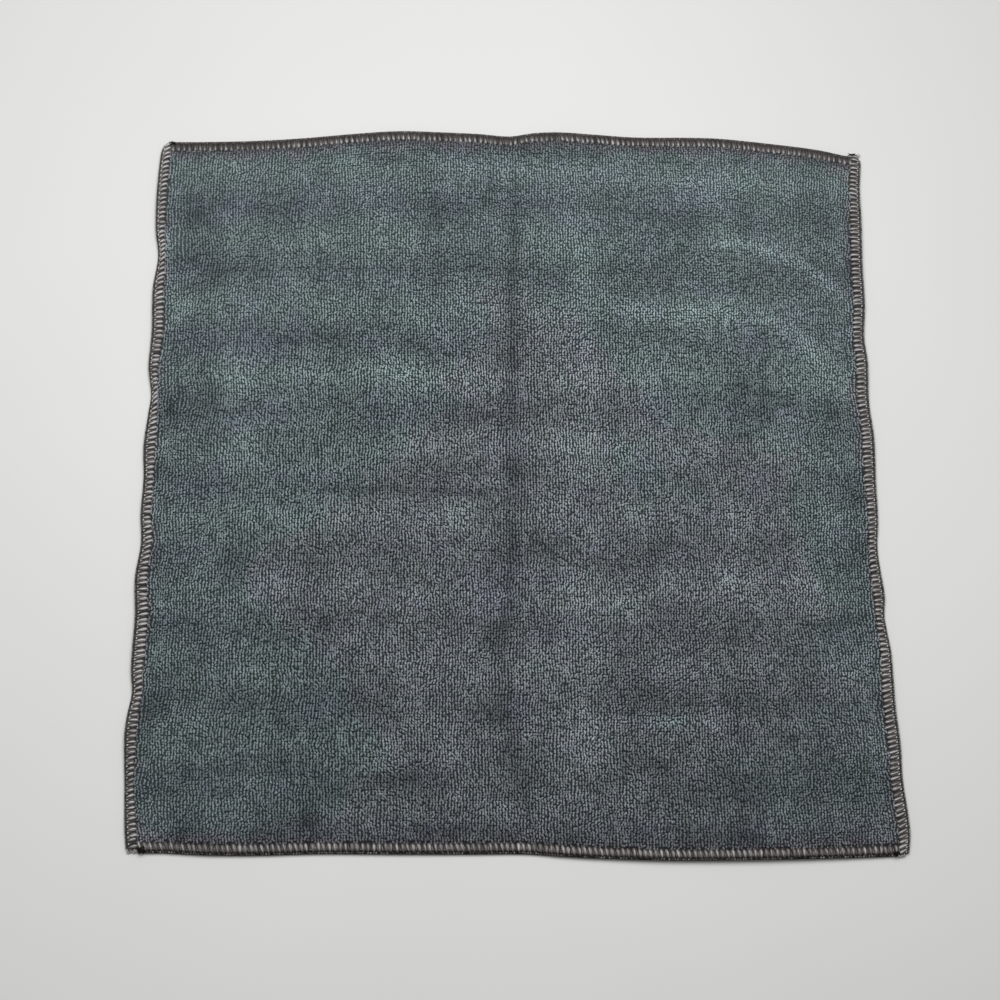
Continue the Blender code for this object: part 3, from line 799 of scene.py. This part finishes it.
def link_maths(tree, operation, *values):
    """A Math node on sockets or numbers."""
    node = tree.nodes.new("ShaderNodeMath")
    node.operation = operation
    for socket, value in zip(node.inputs, values):
        feed(tree, socket, value)
    return node.outputs[0]


def noise(tree, size, detail=2.0):
    """Noise in the object's own space, about size millimetres across."""
    place = tree.nodes.new("ShaderNodeTexCoord")
    node = tree.nodes.new("ShaderNodeTexNoise")
    node.inputs["Scale"].default_value = 1.0 / (size * MM)
    node.inputs["Detail"].default_value = detail
    tree.links.new(place.outputs["Object"], node.inputs["Vector"])
    return node.outputs["Fac"]


def mix_colours(tree, share, first, second):
    """A colour between two others, or past them."""
    node = tree.nodes.new("ShaderNodeMix")
    node.data_type = "RGBA"
    node.clamp_factor = False
    for name, value in (("Factor", share), ("A", first), ("B", second)):
        feed(tree, node.inputs[name], value)
    return node.outputs["Result"]


def multiply_colours(tree, first, second):
    """The product of two colours."""
    node = tree.nodes.new("ShaderNodeVectorMath")
    node.operation = "MULTIPLY"
    tree.links.new(first, node.inputs[0])
    tree.links.new(second, node.inputs[1])
    return node.outputs["Vector"]


def vertex_number(tree, name):
    """A number that the mesh carries."""
    node = tree.nodes.new("ShaderNodeAttribute")
    node.attribute_name = name
    return node.outputs["Fac"]


def new_material(name, sheen, gloss):
    """An empty fabric material, its tree and its shader."""
    material = bpy.data.materials.new(name)
    material.use_nodes = True
    shader = material.node_tree.nodes["Principled BSDF"]
    shader.inputs["Sheen Weight"].default_value = sheen
    shader.inputs["Sheen Roughness"].default_value = 0.5
    shader.inputs["Specular IOR Level"].default_value = gloss
    return material, material.node_tree, shader


def add_fibres(tree, shader, size, depth, low, high):
    """Fine fibres: a bump, and a roughness that wanders between two values."""
    fibres = noise(tree, size, 3.0)
    bump = tree.nodes.new("ShaderNodeBump")
    bump.inputs["Strength"].default_value = 0.6
    bump.inputs["Distance"].default_value = depth * MM
    tree.links.new(fibres, bump.inputs["Height"])
    tree.links.new(bump.outputs["Normal"], shader.inputs["Normal"])
    spread = link_maths(tree, "MULTIPLY", fibres, high - low)
    tree.links.new(link_maths(tree, "ADD", spread, low), shader.inputs["Roughness"])


def pile_material(name, looks, sheen):
    """Dyed microfibre, which turns from green-grey to purple-grey in patches.

    Where it is shaded its colour is the deep one, and on the loops' crowns the pale one.
    """
    material, tree, shader = new_material(name, sheen, 0.25)
    patches = link_maths(tree, "MULTIPLY_ADD", noise(tree, 5.5), 1.3, -0.65)
    tone = link_maths(tree, "ADD", vertex_number(tree, "tone"), patches)
    tone = link_maths(tree, "MAXIMUM", tone, 0.0)
    deep = mix_colours(tree, tone, looks.deep_green, looks.deep_purple)
    crown = mix_colours(tree, tone, looks.crown_green, looks.crown_purple)
    speckle = link_maths(tree, "MULTIPLY_ADD", noise(tree, 0.9), 0.8, 0.60)
    shade = link_maths(tree, "MULTIPLY", vertex_number(tree, "shade"), speckle)
    colour = mix_colours(tree, shade, deep, crown)
    share = link_maths(tree, "MULTIPLY_ADD", vertex_number(tree, "tinge"), 0.5, 0.5)
    tinged = mix_colours(tree, share, PLAIN_TINGE, BLUE_TINGE)
    tree.links.new(multiply_colours(tree, colour, tinged), shader.inputs["Base Color"])
    add_fibres(tree, shader, size=0.22, depth=0.12, low=0.8, high=1.0)
    return material


def thread_material(name, stops, sheen, gloss, low, high):
    """Sewing thread, from painted shade on its dark sides over brown to its pale crown, partly a painted
    highlight.
    """
    material, tree, shader = new_material(name, sheen, gloss)
    speckle = link_maths(tree, "MULTIPLY_ADD", noise(tree, 0.9), 0.3, -0.15)
    shade = link_maths(tree, "ADD", vertex_number(tree, "shade"), speckle)
    ramp = tree.nodes.new("ShaderNodeValToRGB")
    ramp.color_ramp.elements.new(0.4)
    for element, place, colour in zip(ramp.color_ramp.elements, (0.0, 0.4, 1.0), stops):
        element.position = place
        element.color = (*colour, 1.0)
    tree.links.new(shade, ramp.inputs["Fac"])
    tree.links.new(ramp.outputs["Color"], shader.inputs["Base Color"])
    add_fibres(tree, shader, size=0.25, depth=0.08, low=low, high=high)
    return material


# ---- the ground

def ground_lines(length):
    """The mesh lines across the ground sheet, close together at the rims."""
    rim = np.array(GROUND_LINES)
    count = ceil((length - 2 * rim[-1]) / GROUND_STEP)
    inner = np.linspace(rim[-1], length - rim[-1], count + 1)[1:-1]
    return np.concatenate((rim, inner, length - rim[::-1]))


def ground_height(across, along, column):
    """The top or the underside over its lift.  The side hems run the full depth."""
    side, end = insets(across, along)
    end = np.where(side < HEM_WIDTH, np.minimum(end, HEM_CROWN), end)
    pick = np.minimum if column == "top" else np.maximum
    return pick(read_section(GROUND_SECTION, column, side), read_section(GROUND_SECTION, column, end))


def grid_faces(index):
    """Squares between the vertices of a grid."""
    corners = (index[:-1, :-1], index[:-1, 1:], index[1:, 1:], index[1:, :-1])
    return np.stack(corners, axis=2).reshape(-1, 4)


def make_ground(material):
    """The knitted ground under the pile and the hem: one thin closed sheet, coloured near black as painted
    shade between the loops and bars.
    """
    across, along = np.meshgrid(ground_lines(WIDTH), ground_lines(DEPTH))
    x, y = sheet_place(across, along)
    lift = sheet_lift(across, along, x, y)
    top = lift + ground_height(across, along, "top") + pile_relief(across, along, x, y)
    under = lift + ground_height(across, along, "under")
    under = np.where(under < LEAST_LIFT, 0.0, under)
    top_index = np.arange(x.size).reshape(x.shape)
    under_index = top_index + x.size
    for rim in (np.s_[0, :], np.s_[-1, :], np.s_[:, 0], np.s_[:, -1]):
        under_index[rim] = top_index[rim]
    faces = np.concatenate((grid_faces(top_index), grid_faces(under_index)[:, ::-1]))
    used, faces = np.unique(faces, return_inverse=True)
    vertices = np.concatenate((np.stack((x, y, top), axis=2).reshape(-1, 3),
                               np.stack((x, y, under), axis=2).reshape(-1, 3)))[used]
    side, end = insets(across, along)
    hem = 1.0 - blend((np.minimum(side, end) - HEM_WIDTH) / 1.0)
    tone = tone_at(across, along, x, y)
    shade = wear_and_shading_at(x, y) * (1 - HEM_GROUND_SHADE * hem) * (1 + BLUR_GROUND * blur_at(x, y))
    looks = {"tone": tone, "tinge": tinge_at(x, y, tone), "shade": shade}
    values = {key: np.tile(numbers.ravel(), 2)[used] for key, numbers in looks.items()}
    return make_piece("ground_sheet", vertices, faces.reshape(-1, 4), material, values)


# ---- the pile

def loop_places():
    """The middle of every loop on the cut sheet, and its turn from the wale's line.

    The wales wander and zigzag, so neighbours lean towards and away from each other.
    """
    wale, course = np.meshgrid(np.arange(WALES), np.arange(COURSES), indexing="ij")
    across = (wale + 0.5) * WALE
    along = (course + 0.5) * COURSE
    sway = 0.55 * soft_noise(across + 40, along + 90, 5.0, 31) + 0.40 * soft_noise(across, along, 17.0, 32)
    hand = np.where((course + wale // 3) % 2 == 0, 1.0, -1.0)
    lean = hand * (0.34 + 0.20 * soft_noise(across, along, 6.0, 33))
    turn = lean + 0.5 * soft_noise(across + 60, along + 10, 4.0, 34)
    turn = turn + random.normal(0.0, TURN_STRAY, across.shape)
    turn += 0.5 * soft_noise(across + 300, along + 150, 24.0, 35)
    across = across + sway + random.normal(0.0, ACROSS_STRAY, across.shape)
    edge = 1.0 - blend((np.minimum(across, WIDTH - across) - HEM_WIDTH) / 9.0)
    ragged = 0.7 * soft_noise(across, along, 6.5, 36) + 0.4 * soft_noise(across, along, 3.1, 37)
    across = across + edge * ragged
    along = along + random.normal(0.0, ALONG_STRAY, along.shape)
    return across.ravel(), along.ravel(), turn.ravel()


# The corners of a loop: both ends, both sides, and both ends of its ridge.
LOOP_BASE = np.array(((0, 2, 1), (0, 1, 3)))
LOOP_TOP = np.array(((0, 4, 2), (2, 4, 5), (2, 5, 1), (1, 5, 3), (3, 5, 4), (3, 4, 0)))
# Painted shade on each loop's corners: its ends and sides darker than its ridge, where its neighbours
# shade it.
LOOP_PAINTED_SHADES = np.array((0.66, 0.66, 0.64, 0.64, 0.745, 0.745))


def loop_glow(x, y, along, blur):
    """How bright each loop is."""
    count = len(x)
    glow = wear_and_shading_at(x, y) * (LOOP_GLOW - LOOP_GLOW_FALL * random.uniform(0.0, 1.0, count) ** LOOP_GLOW_BEND)
    shaded = random.uniform(0.0, 1.0, count) < SHADED_LOOPS
    dimmed = np.where(shaded, SHADED_GLOW + SHADED_BLUR_GAIN * blur, 1.0)
    glow *= dimmed * (1.0 - BLUR_DIM * blur)
    glow *= 1.0 - NEAR_SHADE * (1.0 - blend((along - HEM_WIDTH) / END_SHADE_WIDTH))
    glow *= 1.0 - FAR_SHADE * (1.0 - blend((DEPTH - along - HEM_WIDTH) / END_SHADE_WIDTH))
    return glow


def make_loops():
    """Vertices of all the loops, with the numbers that their material reads.

    Each is a small bead with pointed ends and a short ridge, lying along its wale.
    """
    across, along, turn = loop_places()
    side, end = insets(across, along)
    inset = np.minimum(side, end)
    ragged = 0.4 + 0.5 * soft_noise(across, along, 5.0, 38)
    keep = np.minimum(side + ragged, end + 0.3) > HEM_WIDTH + random.uniform(0.0, 0.5, inset.shape)
    across, along, turn, inset = across[keep], along[keep], turn[keep], inset[keep]
    x, y = sheet_place(across, along)
    count = len(x)
    forward = np.stack((-np.sin(turn), np.cos(turn)), axis=1)
    sideways = np.stack((forward[:, 1], -forward[:, 0]), axis=1)
    top = sheet_lift(across, along, x, y) + read_section(PILE_SECTION, "top", inset)
    top += pile_relief(across, along, x, y)
    top += 0.14 * soft_noise(x + 15, y + 77, 3.6, 41) + random.normal(0.0, HEIGHT_STRAY, count)
    middle = np.stack((x, y), axis=1)
    reach = forward * LOOP_HALF_LENGTH * random.uniform(0.8, 1.25, (count, 1))
    half = sideways * LOOP_HALF_WIDTH * random.uniform(0.8, 1.2, (count, 1))
    ridge = reach * LOOP_RIDGE
    tilt = random.normal(0.0, TILT_STRAY, count)
    plan = np.stack((middle - reach, middle + reach, middle - half, middle + half,
                     middle - ridge, middle + ridge), axis=1)
    blur = blur_at(x, y)
    low = top - LOOP_DROP * (1.0 - BLUR_DROP * blur)
    ends = top - LOOP_END_DROP * (1.0 - BLUR_DROP * blur)
    heights = np.stack((ends - tilt, ends + tilt, low, low, top - tilt / 2, top + tilt / 2), axis=1)
    vertices = np.concatenate((plan, heights[..., None]), axis=2)
    glow = loop_glow(x, y, along, blur)
    tone = tone_at(across, along, x, y)
    looks = {
        "shade": glow[:, None] * (LOOP_PAINTED_SHADES + (BLUR_SHADE - LOOP_PAINTED_SHADES) * blur[:, None]),
        "tone": np.repeat(tone[:, None], 6, axis=1),
        "tinge": np.repeat(tinge_at(x, y, tone)[:, None], 6, axis=1),
    }
    return vertices, looks, along


def make_pile(material):
    """The looped pile, in bands from the near edge to the far one."""
    vertices, looks, along = make_loops()
    band = np.minimum((along / DEPTH * PILE_BANDS).astype(int), PILE_BANDS - 1)
    pieces = []
    for number in range(PILE_BANDS):
        mine = band == number
        first = np.arange(mine.sum())[:, None, None] * 6
        faces = np.concatenate([(corners + first).reshape(-1, 3) for corners in (LOOP_BASE, LOOP_TOP)])
        values = {key: numbers[mine] for key, numbers in looks.items()}
        name = f"pile_loops_{number + 1}"
        piece = make_piece(name, vertices[mine], faces, material, values)
        add_plan_map(piece)
        pieces.append(piece)
    return pieces


# ---- the hem

def hem_place(side, run, inset, height):
    """A point over the hem.  run goes counterclockwise along the side."""
    run, inset, height = np.broadcast_arrays(run, inset, height)
    across, along = {
        "left": (inset, DEPTH - run),
        "near": (run, inset),
        "right": (WIDTH - inset, run),
        "far": (WIDTH - run, DEPTH - inset),
    }[side]
    x, y = sheet_place(across, along)
    return np.stack((x, y, sheet_lift(across, along, x, y) + height), axis=-1)


def stitch_runs(side):
    """Where the stitches stand along a side.  The end hems stop at the side hems."""
    margin = SIDE_MARGIN if side.name in SIDE_HEMS else END_MARGIN
    count = round(side.stitches * (side.length - 2 * margin) / side.length)
    runs = np.linspace(margin, side.length - margin, count)
    return runs + random.normal(0.0, STITCH_STRAY, count)


def make_bars(side, runs):
    """The bars of one side, each a bright strand between two dull ones."""
    path_insets, heights, spread, shade = columns(BAR_PATH, "inset", "height", "spread", side.name)
    count = len(runs)
    lean = side.slant * (1.0 + 0.5 * soft_noise(runs, 0 * runs, 17.0, 52))[:, None]
    lean = lean + random.normal(0.0, LEAN_STRAY, (count, 1))
    slant = lean * (0.5 - path_insets / HEM_WIDTH)
    reach = random.normal(1.0, 0.03, (count, 1))
    glow = random.normal(0.95, 0.10, (count, 1)) + 0.14 * soft_noise(runs, 0 * runs, 15.0, 51)[:, None]
    parts = []
    for strand in BAR_STRANDS:
        share = strand.side if side.name in SIDE_HEMS else strand.end
        run = runs[:, None] + slant + strand.offset * spread
        run = run + random.normal(0.0, STRAND_STRAY, (count, 1))
        paths = hem_place(side.name, run, path_insets * reach, heights + STRAND_CROWN * strand.side)
        looks = shade * glow * share * random.uniform(0.85, 1.15, (count, 1))
        parts.append(threads(paths, strand.radius * (0.6 + 0.4 * spread), side.ahead, looks))
    return parts


def make_rim(side):
    """The dark threads twisted round the rim: two strands, half a turn apart, and a core."""
    points = side.stitches * RIM_POINTS + 1
    run = np.linspace(0.4, side.length - 0.4, points)
    rim = RIMS[side.name]
    parts = []
    for phase in (0.0, pi):
        turn = 2 * pi * np.arange(points) / RIM_POINTS + phase + 0.5 * soft_noise(run, 0 * run, 6.0, 61)
        rise = np.sin(turn + TWIST_LEAD)
        inset = rim.centre - rim.swing * np.cos(turn)
        path = hem_place(side.name, run, inset, rim.height + TWIST_RISE * rise)[None]
        # painted highlight where a strand rises over the top of its turn, painted shade where it dips
        # under
        looks = rim.base + (rim.crest - rim.base) * blend(rise) * random.uniform(0.3, 1.5, points)
        parts.append(threads(path, rim.radius, side.out, looks))
    path = hem_place(side.name, run[::4], CORE_INSET, rim.height + CORE_RISE)[None]
    looks = rim.core * random.uniform(0.4, 1.6, path.shape[1])
    parts.append(threads(path, CORE_RADIUS, side.out, looks))
    return parts


def make_beads(side, runs):
    """The knots where the rim's threads catch the bars, just inside the rim."""
    bead = BEADS[side.name]
    run = (runs + BEAD_STEP)[:, None] + BEAD_POINTS
    height = BEAD_HEIGHT + 0.15 * (1 - BEAD_POINTS ** 2)
    path = hem_place(side.name, run, bead.inset - 0.4 * BEAD_POINTS, height)
    looks = bead.shade * random.uniform(0.6, 1.3, (len(runs), 1))
    return [threads(path, BEAD_RADII, side.out, looks)]


def make_needle_line(side, runs):
    """The needle's short dark stitches, drawn down between the hem and the pile."""
    height = NEEDLE_HEIGHT - 0.28 * NEEDLE_POINTS ** 2
    inset = NEEDLE_INSET + 0.1 * NEEDLE_POINTS
    path = hem_place(side.name, runs[:, None] + NEEDLE_POINTS, inset, height)
    looks = NEEDLE[side.name] * random.uniform(0.2, 1.6, (len(runs), 1))
    return [threads(path, NEEDLE_RADII, side.out, looks)]


def make_under_threads(side, runs):
    """The looper's thread between the bars, low on the hem."""
    path_insets, heights, shade = columns(UNDER_PATH, "inset", "height", side.name)
    run = runs[:, None] + side.length / side.stitches / 2 + side.slant * (0.5 - path_insets / HEM_WIDTH)
    path = hem_place(side.name, run, path_insets, heights)
    looks = shade * random.uniform(0.6, 1.4, (len(runs), 1))
    return [threads(path, UNDER_RADIUS, side.ahead, looks)]


def make_bunch(bunch):
    """A bunch of short threads, such as a cut end or a knot at a corner."""
    share = np.linspace(-0.5, 0.5, 5)
    each = (bunch.count, 1)
    x = bunch.x + random.uniform(-bunch.half_width, bunch.half_width, each)
    y = bunch.y + random.uniform(-bunch.half_depth, bunch.half_depth, each)
    turn = np.radians(bunch.turn + random.normal(0.0, bunch.stray, each))
    bend = random.normal(0.0, 0.9, each) * share ** 2
    length = bunch.length * random.uniform(0.5, 1.0, each) * share
    height = bunch.height + random.uniform(-0.9, 0.4, each) - 1.2 * share
    path = np.stack((x + length * np.cos(turn) - bend * np.sin(turn),
                     y + length * np.sin(turn) + bend * np.cos(turn),
                     np.maximum(height, LEAST_BUNCH_HEIGHT)), axis=2)
    looks = bunch.shade * random.uniform(0.6, 1.1, each)
    return threads(path, bunch.radius * (1.0 - 1.2 * share ** 2), (0, 0, 1), looks)


def make_hem(satin, dark):
    """All the sewing round the cloth."""
    bars, rims, lines = [], [], []
    for side in SIDES:
        runs = stitch_runs(side)
        bars += make_bars(side, runs)
        rims += make_rim(side) + make_beads(side, runs)
        lines += make_needle_line(side, runs) + make_under_threads(side, runs)
    ends = [make_bunch(bunch) for bunch in BUNCHES]
    groups = (
        ("hem_needle_line", lines, dark),
        ("hem_rim", rims, dark),
        ("hem_bars", bars, satin),
        ("thread_ends", ends, dark),
    )
    pieces = []
    for name, parts, material in groups:
        vertices, faces, shades = join(parts)
        piece = make_piece(name, vertices, faces, material, {"shade": shades})
        add_plan_map(piece)
        pieces.append(piece)
    return pieces


# ---- floor, light, camera

CAMERA_PLACE = (-62.64, -341.21, 1022.27)
CAMERA_TURN = (17.965, -2.882, -0.400)
CAMERA_LENS = 72.0
CAMERA_SENSOR = 36.0
FLOOR_HALF = 12000.0
FLOOR_HEIGHT = -0.15
FLOOR_TINTS = ((0.695, 0.692, 0.676), (0.735, 0.732, 0.718))


def make_floor():
    """A plain pale floor."""
    mesh = bpy.data.meshes.new("floor")
    corners = [(x * FLOOR_HALF * MM, y * FLOOR_HALF * MM, FLOOR_HEIGHT * MM)
               for x, y in ((-1, -1), (1, -1), (1, 1), (-1, 1))]
    mesh.from_pydata(corners, [], [(0, 1, 2, 3)])
    material, tree, shader = new_material("pale_floor", 0.0, 0.25)
    tint = mix_colours(tree, noise(tree, 180.0), *FLOOR_TINTS)
    tree.links.new(tint, shader.inputs["Base Color"])
    shader.inputs["Roughness"].default_value = 0.9
    mesh.materials.append(material)
    floor = add_object("floor", mesh)


def make_light(name, place, aim, size, power):
    """A soft square lamp; place and aim in metres."""
    lamp = bpy.data.lights.new(name, "AREA")
    lamp.size = size
    lamp.energy = power
    holder = add_object(name, lamp)
    holder.location = place
    direction = np.subtract(aim, place)
    holder.rotation_euler = Vector(direction).to_track_quat("-Z", "Y").to_euler()


def make_world(colour, strength):
    """Even light from all round."""
    world = bpy.data.worlds.new("studio")
    world.use_nodes = True
    background = world.node_tree.nodes["Background"]
    background.inputs["Color"].default_value = (*colour, 1.0)
    background.inputs["Strength"].default_value = strength
    bpy.context.scene.world = world


def make_camera():
    """The camera of the photograph."""
    data = bpy.data.cameras.new("camera")
    data.lens = CAMERA_LENS
    data.sensor_width = CAMERA_SENSOR
    data.clip_start = 0.01
    camera = add_object("camera", data)
    x, y, z = CAMERA_PLACE
    camera.location = ((x - MIDDLE_X) * MM, (y - MIDDLE_Y) * MM, z * MM)
    camera.rotation_euler = tuple(radians(angle) for angle in CAMERA_TURN)
    bpy.context.scene.camera = camera


# deep: the colour where shade is painted on; crown: the colour on the loops' crowns.
Looks = namedtuple("Looks", "deep_green deep_purple crown_green crown_purple")
PILE_LOOKS = Looks(
    deep_green=(0.006, 0.018, 0.021),
    deep_purple=(0.011, 0.018, 0.023),
    crown_green=(0.354, 0.441, 0.453),
    crown_purple=(0.394, 0.436, 0.465),
)
# The ground sheet's colours are painted shade: near black, for the gaps between the loops.
GROUND_SHADE_LOOKS = Looks(
    deep_green=(0.004, 0.008, 0.010),
    deep_purple=(0.006, 0.008, 0.010),
    crown_green=(0.025, 0.036, 0.038),
    crown_purple=(0.028, 0.035, 0.038),
)
PLAIN_TINGE = (0.975, 1.005, 0.945)
BLUE_TINGE = (1.030, 0.992, 1.075)
# Thread colours: painted shade, the brown thread, and its pale crown, partly a painted highlight.
SATIN_STOPS = ((0.010, 0.007, 0.006), (0.152, 0.138, 0.135), (0.70, 0.68, 0.68))
DARK_STOPS = ((0.006, 0.004, 0.003), (0.152, 0.136, 0.124), (0.68, 0.66, 0.64))

make_floor()
make_light("window", place=(-0.05, 0.20, 0.82), aim=(0.0, 0.0, 0.0), size=0.7, power=7.6)
make_world(colour=(0.97, 0.98, 1.0), strength=0.25)
make_camera()
bpy.context.scene.view_settings.view_transform = "Standard"

ground_shade_cloth = pile_material("ground_knit_in_shade", GROUND_SHADE_LOOKS, sheen=0.0)
pile_cloth = pile_material("looped_pile", PILE_LOOKS, sheen=0.12)
satin_thread = thread_material("satin_thread", SATIN_STOPS, sheen=0.05, gloss=0.25, low=0.4, high=0.65)
dark_thread = thread_material("dark_thread", DARK_STOPS, sheen=0.0, gloss=0.12, low=0.6, high=0.85)

ground_sheet = make_ground(ground_shade_cloth)
pile_pieces = make_pile(pile_cloth)
hem_pieces = make_hem(satin_thread, dark_thread)

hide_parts("cloth")
